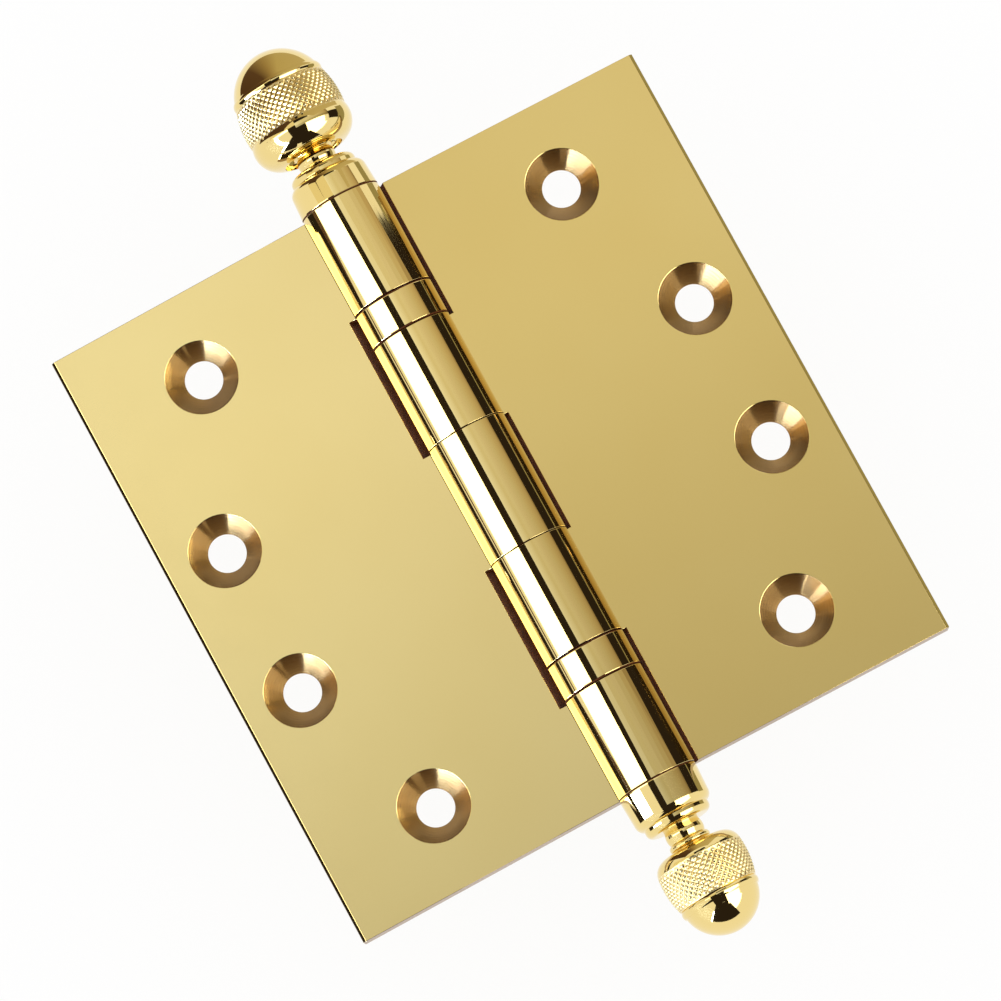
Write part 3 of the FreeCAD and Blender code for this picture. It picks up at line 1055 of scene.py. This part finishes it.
@dataclass
class InnerWorks:
    """The pin and the parts of the two bearings, which keep their CAD shapes."""

    def dress(self) -> None:
        """Give each inner node the bare metal of its slot in the record."""
        metals = {
            Slot.PIN_STEEL.value: GROUND_STEEL.make(),
            Slot.BALL_STEEL.value: POLISHED_STEEL.make(),
            Slot.CAGE_BRASS.value: PRESSED_BRASS.make(),
        }
        for subpart in frame["record"]["subparts"]:
            if subpart["material_slot"] in metals:
                self.paint(frame["nodes"][subpart["node"]], metals[subpart["material_slot"]])

    def paint(self, node: bpy.types.Object, metal: bpy.types.Material) -> None:
        """Put one finish on a CAD node.

        Args:
            node: The node's object.
            metal: Its finish.
        """
        node.data.materials.clear()
        node.data.materials.append(metal)
        log.info("%s: %s", node.name, metal.name)


# The studio


@dataclass(frozen=True)
class Glow:
    """Light of a sheet of the studio: one colour and a strength of 1 for paper white."""

    name: str
    colour: str
    strength: float

    def make(self) -> bpy.types.Material:
        """Build the light.

        Returns:
            A material that only glows.
        """
        material, tree = new_material(self.name)
        light = add_node(
            tree, "ShaderNodeEmission", {"Color": linear(self.colour), "Strength": self.strength}
        )
        add_node(tree, "ShaderNodeOutputMaterial", {"Surface": light.outputs["Emission"]})
        return material


@dataclass(frozen=True)
class FadingGlow:
    """Light of a sheet whose colour changes round its curve and whose strength changes along the pin.

    A roof's stops are degrees from overhead towards the right, and a wall's are degrees from
    the back towards the left. The strength goes from front_light to back_light between the
    places front and back, in metres along the pin.
    """

    name: str
    side: Side
    stops: tuple[tuple[float, str], ...]
    front: float = 0.0
    back: float = 1.0
    front_light: float = 1.0
    back_light: float = 1.0

    def make(self) -> bpy.types.Material:
        """Build the light.

        Returns:
            A material that only glows, its colours placed by the angle round the sheet's axis.
        """
        material, tree = new_material(self.name)
        place = add_node(tree, "ShaderNodeTexCoord").outputs["Object"]
        axes = add_node(tree, "ShaderNodeSeparateXYZ", {0: place}).outputs
        if self.side is Side.ROOF:
            angle = add_node(tree, "ShaderNodeMath", {0: axes["X"], 1: axes["Z"]}, operation="ARCTAN2")
        else:
            behind = add_node(tree, "ShaderNodeMath", {0: axes["X"], 1: -1.0}, operation="MULTIPLY")
            from_back = {0: behind.outputs[0], 1: axes["Y"]}
            angle = add_node(tree, "ShaderNodeMath", from_back, operation="ARCTAN2")
        first, last = self.stops[0][0], self.stops[-1][0]
        across = add_node(
            tree,
            "ShaderNodeMapRange",
            {
                "Value": angle.outputs[0],
                "From Min": math.radians(first),
                "From Max": math.radians(last),
            },
        )
        ramp = add_node(tree, "ShaderNodeValToRGB", {"Fac": across.outputs["Result"]})
        marks = ramp.color_ramp.elements
        while len(marks) < len(self.stops):
            marks.new(0.5)
        for mark, (degrees, colour) in zip(marks, self.stops):
            mark.position = (degrees - first) / (last - first)
            mark.color = linear(colour)
        fade = add_node(
            tree,
            "ShaderNodeMapRange",
            {
                "Value": axes["Y"],
                "From Min": self.front,
                "From Max": self.back,
                "To Min": self.front_light,
                "To Max": self.back_light,
            },
        )
        light = add_node(
            tree,
            "ShaderNodeEmission",
            {"Color": ramp.outputs["Color"], "Strength": fade.outputs["Result"]},
        )
        add_node(tree, "ShaderNodeOutputMaterial", {"Surface": light.outputs["Emission"]})
        return material


WHITE_BOX = Glow("softbox", "FFFCF2", 4.2)
BLACK_FLAG = Glow("black_flag", "2B2420", 1.0)
BROWN_CARD = Glow("brown_card", "5C4636", 1.0)
LOW_BOX = Glow("low_softbox", "B8D0FF", 26.0)
WHITE_CARD = Glow("white_card", "FFFFFF", 1.0)
CREAM_CARD = Glow("cream_card", "F4ECD0", 1.0)
OLIVE_CARD = Glow("olive_card", "A09A78", 1.0)
FADING_SHEET = FadingGlow(
    name="fading_overhead_sheet",
    side=Side.ROOF,
    stops=(
        (-8.4, "E8ECF1"),
        (-4.6, "DFE1E3"),
        (3.0, "D8D8D3"),
        (10.5, "CECABA"),
        (19.0, "D1CEC3"),
        (30.0, "CAC4B7"),
        (41.0, "C3BDAB"),
        (52.5, "BCB198"),
        (64.7, "AF9F84"),
        (72.0, "7F6E52"),
    ),
    front=0.26,
    back=0.56,
    front_light=0.82,
    back_light=1.25,
)
BACK_WALL = FadingGlow(
    name="fading_back_wall",
    side=Side.WALL,
    stops=((-52.0, "C9BD9C"), (-12.0, "BFB189"), (0.0, "A08C66"), (14.0, "5C4636"), (48.0, "4A3628")),
)


@dataclass(frozen=True)
class Sheet:
    """A curved sheet of the studio, seen by the brass but not by the camera.

    A roof turns from overhead towards the right and reaches from low to high along the pin. A
    wall turns from the front towards the right and reaches from low to high upward.
    """

    name: str
    side: Side
    start_deg: float
    finish_deg: float
    low: float
    high: float
    glow: Glow | FadingGlow
    radius: float = 3.0
    along_mm: float = 0.0
    steps: int = 32

    def build(self) -> bpy.types.Object:
        """Sweep the sheet round the hinge.

        Returns:
            The sheet, marked as stage.
        """
        if self.side is Side.ROOF:
            axis = ALONG_PIN
            ends = [Vector((0, self.low, self.radius)), Vector((0, self.high, self.radius))]
        else:
            axis = UPRIGHT
            ends = [Vector((0, -self.radius, self.low)), Vector((0, -self.radius, self.high))]
        start = Matrix.Rotation(math.radians(self.start_deg), 3, axis)
        sweep = math.radians(self.finish_deg - self.start_deg)
        bm = bmesh.new()
        verts = [bm.verts.new(start @ end) for end in ends]
        edge = bm.edges.new(verts)
        bmesh.ops.spin(bm, geom=[*verts, edge], cent=(0, 0, 0), axis=axis, angle=sweep, steps=self.steps)
        bmesh.ops.translate(bm, verts=bm.verts, vec=ALONG_PIN * self.along_mm * MM)
        sheet = link_mesh(bm, self.name, [self.glow.make()])
        sheet.visible_camera = False
        sheet.visible_diffuse = False
        sheet.visible_shadow = False
        return sheet


@dataclass(frozen=True)
class Studio:
    """White floor and air, with the sheets that the polished brass mirrors."""

    floor_size: float = 16.0
    floor_drop_mm: float = 58.0
    shadow_share: float = 0.15
    sheets: tuple[Sheet, ...] = (
        Sheet("left_softbox", Side.ROOF, -76.0, -27.5, 0.28, 0.72, WHITE_BOX),
        Sheet("left_flag", Side.ROOF, -27.5, -8.4, -0.05, 0.72, BLACK_FLAG),
        Sheet("overhead_sheet", Side.ROOF, -8.4, 72.0, -0.05, 1.15, FADING_SHEET),
        Sheet("back_left_card", Side.ROOF, -76.0, -8.4, 0.72, 2.3, CREAM_CARD),
        Sheet("right_flag", Side.ROOF, 70.0, 99.0, -0.055, 0.115, BLACK_FLAG, radius=0.36),
        Sheet("left_edge", Side.ROOF, -87.5, -83.5, -0.25, 0.85, BROWN_CARD),
        Sheet("left_low_flag", Side.ROOF, -112.0, -89.0, -0.06, 0.09, BLACK_FLAG, radius=0.12),
        Sheet("right_low_card", Side.ROOF, 94.0, 116.0, -0.06, 0.09, OLIVE_CARD, radius=0.1),
        Sheet("front_roof_flag", Side.ROOF, -27.0, 14.0, -1.8, -0.05, BLACK_FLAG),
        Sheet("front_roof_softbox", Side.ROOF, 14.0, 60.0, -2.6, -0.05, WHITE_BOX),
        Sheet("front_flag", Side.WALL, -41.0, 21.0, 0.0, 5.0, BLACK_FLAG),
        Sheet("low_softbox", Side.WALL, -94.0, -41.0, -0.05, 2.0, LOW_BOX),
        Sheet("dome_card", Side.WALL, -105.0, -38.0, -0.03, 0.04, WHITE_CARD, radius=0.035, along_mm=-65.0),
        Sheet("cup_card", Side.WALL, -100.0, -50.0, -0.008, 0.012, WHITE_CARD, radius=0.016, along_mm=63.0),
        Sheet("front_softbox", Side.WALL, 21.0, 62.0, 1.2, 3.4, WHITE_BOX),
        Sheet("back_wall", Side.WALL, 128.0, 228.0, -0.058, 0.2, BACK_WALL, radius=0.19),
        Sheet("back_flag", Side.ROOF, -8.4, 26.0, 1.15, 2.3, BLACK_FLAG, radius=2.9),
    )

    def build(self) -> None:
        """Set up the floor, the white air and the sheets."""
        world = bpy.data.worlds.new("white_air")
        world.use_nodes = True
        world.node_tree.nodes["Background"].inputs["Color"].default_value = linear("FFFFFF")
        bpy.context.scene.world = world
        bm = bmesh.new()
        bmesh.ops.create_grid(bm, x_segments=1, y_segments=1, size=self.floor_size / 2)
        bmesh.ops.translate(bm, verts=bm.verts, vec=-UPRIGHT * self.floor_drop_mm * MM)
        floor = link_mesh(bm, "floor", [self.floor_paper()])
        for sheet in self.sheets:
            sheet.build()

    def floor_paper(self) -> bpy.types.Material:
        """Make white paper that keeps a light shadow.

        Returns:
            The floor's material: white to the eye and to the brass, matt to all other light.
        """
        material, tree = new_material("white_paper")
        rays = add_node(tree, "ShaderNodeLightPath").outputs
        eye = add_node(
            tree, "ShaderNodeMath", {0: rays["Is Camera Ray"], 1: rays["Is Glossy Ray"]}, operation="MAXIMUM"
        )
        seen = add_node(
            tree, "ShaderNodeMath", {0: eye.outputs[0], 1: rays["Is Transmission Ray"]}, operation="MAXIMUM"
        )
        share = add_node(
            tree, "ShaderNodeMath", {0: seen.outputs[0], 1: 1 - self.shadow_share}, operation="MULTIPLY"
        )
        matt = add_node(tree, "ShaderNodeBsdfDiffuse", {"Color": linear("FFFFFF")})
        white = add_node(tree, "ShaderNodeEmission", {"Color": linear("FFFFFF"), "Strength": 1.0})
        paper = add_node(
            tree,
            "ShaderNodeMixShader",
            {0: share.outputs[0], 1: matt.outputs["BSDF"], 2: white.outputs["Emission"]},
        )
        add_node(tree, "ShaderNodeOutputMaterial", {"Surface": paper.outputs["Shader"]})
        return material


@dataclass(frozen=True)
class Viewpoint:
    """The camera: almost overhead, a little to the left and the front, and tilted."""

    place_mm: tuple[float, float, float] = (-61.6, -204.9, 1275.4)
    target_mm: tuple[float, float, float] = (-0.36, -1.57, 0.0)
    tilt_deg: float = -28.68
    lens_mm: float = 305.26

    def build(self) -> None:
        """Set the camera up and make it the scene's own."""
        place = Vector(self.place_mm) * MM
        back = (place - Vector(self.target_mm) * MM).normalized()
        right = ALONG_PIN.cross(back).normalized()
        turned = Matrix((right, back.cross(right), back)).transposed().to_4x4()
        lens = bpy.data.cameras.new("studio_camera")
        lens.lens = self.lens_mm
        camera = bpy.data.objects.new("studio_camera", lens)
        tilt = Matrix.Rotation(math.radians(self.tilt_deg), 4, UPRIGHT)
        camera.matrix_world = Matrix.Translation(place) @ turned @ tilt
        bpy.context.scene.collection.objects.link(camera)
        bpy.context.scene.camera = camera


def main() -> None:
    """Build the hinge, dress it and set up the studio."""
    logging.basicConfig(level=logging.INFO, format="%(name)s: %(message)s")
    bpy.context.scene.view_settings.view_transform = "Standard"
    brass = BrassSet(
        polished=PolishedBrass().make(),
        turned=TurnedBrass().make(),
        knurled=KnurledBrass().make(),
        sawn=SAWN_BRASS.make(),
        gap=GapShade().make(),
        tarnish_and_shade=EDGE_TARNISH_AND_SHADE.make(),
    )
    Leaf("frame_leaf", "frame_side", Slot.BRASS).build(brass)
    Leaf("door_leaf", "door_side", Slot.BRASS).build(brass)
    for end in ("upper", "lower"):
        BearingShell(f"{end}_bearing_shell", "frame_side", Slot.BRASS).build(brass)
    for finial in (TOP_FINIAL, BOTTOM_FINIAL):
        finial.build(brass)
    InnerWorks().dress()
    Studio().build()
    Viewpoint().build()


if __name__ == "__main__":
    main()
